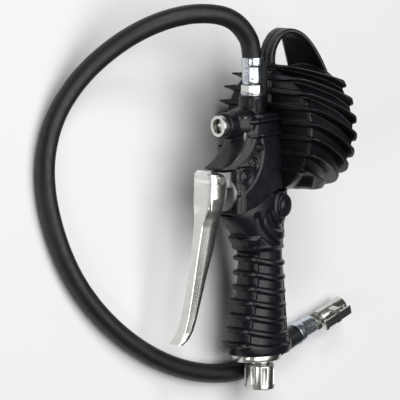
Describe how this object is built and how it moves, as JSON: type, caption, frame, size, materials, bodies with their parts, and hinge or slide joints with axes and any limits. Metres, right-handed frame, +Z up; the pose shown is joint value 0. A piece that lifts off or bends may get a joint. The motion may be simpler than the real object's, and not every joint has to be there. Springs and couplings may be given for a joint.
{
  "type": "portable tire inflator",
  "caption": "Pistol-grip air line inflator with a pressure dial in a finned rubber boot, a trigger lever, a bleed button, and a short hose with a clip-on tyre chuck.",
  "frame": {"origin": "on the surface the tool lies on, under the centre of the tool's box without its hose and chuck", "axes": "+Y from the inlet towards the hose outlet and hanging loop, +Z up from the surface, which is the tool's left side, +X from the trigger towards the dial. The tool lies on its right side, its top end raised 9.1 degrees."},
  "size_m": [0.2718, 0.2724, 0.1038],
  "materials": {
    "die_cast": "as-cast zinc alloy, nickel plated where it shows",
    "black_plastic": "satin moulded black plastic",
    "grip_plastic": "satin moulded black grip",
    "boot_rubber": "matt black moulded rubber",
    "hose_rubber": "smooth black extruded rubber",
    "seal_rubber": "black nitrile",
    "nickel": "nickel plate on brass",
    "bright_nickel": "bright nickel plate on pressed steel",
    "zinc": "blue-white zinc plate",
    "plated_steel": "zinc plated steel",
    "case_steel": "black painted steel",
    "brass": "machined brass",
    "dial_white": "white painted aluminium",
    "pointer_black": "black painted aluminium",
    "lens": "clear polycarbonate"
  },
  "bodies": {
    "tool": {"core_body": "die_cast", "head_shell_left": "black_plastic", "head_shell_right": "black_plastic", "grip_sleeve": "grip_plastic", "badge": "black_plastic", "shell_screws": "plated_steel", "gauge_boot": "boot_rubber", "gauge_case": "case_steel", "gauge_bezel": "black_plastic", "gauge_lens": "lens", "lens_gasket": "seal_rubber", "gauge_dial": "dial_white", "gauge_socket": "brass", "bourdon_tube": "brass", "movement_link": "brass", "movement_frame": "brass", "lever_pin": "plated_steel", "lever_clip": "plated_steel", "valve_bush": "nickel", "stem_seal": "seal_rubber", "valve_seat": "brass", "valve_spring": "plated_steel", "bleed_sleeve": "nickel", "bleed_spring": "plated_steel", "base_flange": "nickel", "inlet_nipple": "nickel", "inlet_washer": "seal_rubber", "inlet_filter": "brass", "hose_adapter": "nickel", "adapter_washer": "zinc", "hose_ferrule": "zinc", "hose": "hose_rubber", "chuck_ferrule": "zinc", "chuck_body": "nickel", "chuck_seal": "seal_rubber", "clip_pin": "plated_steel", "clip_spring": "plated_steel"},
    "trigger": {"lever": "bright_nickel"},
    "valve": {"valve_stem": "plated_steel"},
    "bleed": {"bleed_button": "nickel"},
    "pointer": {"pointer_arbor": "brass", "pointer_needle": "pointer_black"},
    "sector": {"sector_gear": "brass"},
    "inlet_nut": {"swivel_nut": "nickel"},
    "clip": {"clip_lever": "nickel"}
  },
  "joints": [
    {"name": "trigger_pivot", "type": "hinge", "parent": "tool", "child": "trigger", "pos_m": [-0.0295, 0.02427, 0.04689], "axis": [0, -0.1582, 0.9874], "range_deg": [0, 13], "stiffness_Nm_per_rad": 0.5, "springref_deg": -28.65},
    {"name": "valve_slide", "type": "slide", "parent": "tool", "child": "valve", "axis": [1, 0, 0], "range_m": [0, 0.0024], "deforming": ["valve_spring"]},
    {"name": "bleed_press", "type": "slide", "parent": "tool", "child": "bleed", "axis": [1, 0, 0], "range_m": [0, 0.003], "stiffness_N_per_m": 300, "springref_m": -0.004, "deforming": ["bleed_spring"]},
    {"name": "sector_turn", "type": "hinge", "parent": "tool", "child": "sector", "pos_m": [0.0435, 0.03385, 0.04842], "axis": [1, 0, 0], "range_deg": [0, 27], "stiffness_Nm_per_rad": 0.02},
    {"name": "pointer_turn", "type": "hinge", "parent": "tool", "child": "pointer", "pos_m": [0.0575, 0.05557, 0.0519], "axis": [-1, 0, 0], "range_deg": [0, 270]},
    {"name": "inlet_swivel", "type": "hinge", "parent": "tool", "child": "inlet_nut", "pos_m": [0.0165, -0.11624, 0.02438], "axis": [0, 0.9874, 0.1582], "continuous": true},
    {"name": "clip_pivot", "type": "hinge", "parent": "tool", "child": "clip", "pos_m": [0.10543, -0.08114, 0.01641], "axis": [0.3304, -0.9077, -0.2588], "range_deg": [0, 9], "stiffness_Nm_per_rad": 0.05, "springref_deg": -17.19}
  ],
  "couplings": [
    {"joint": "valve_slide", "follows": "trigger_pivot", "m_per_rad": 0.0103},
    {"joint": "pointer_turn", "follows": "sector_turn", "ratio": 10}
  ]
}
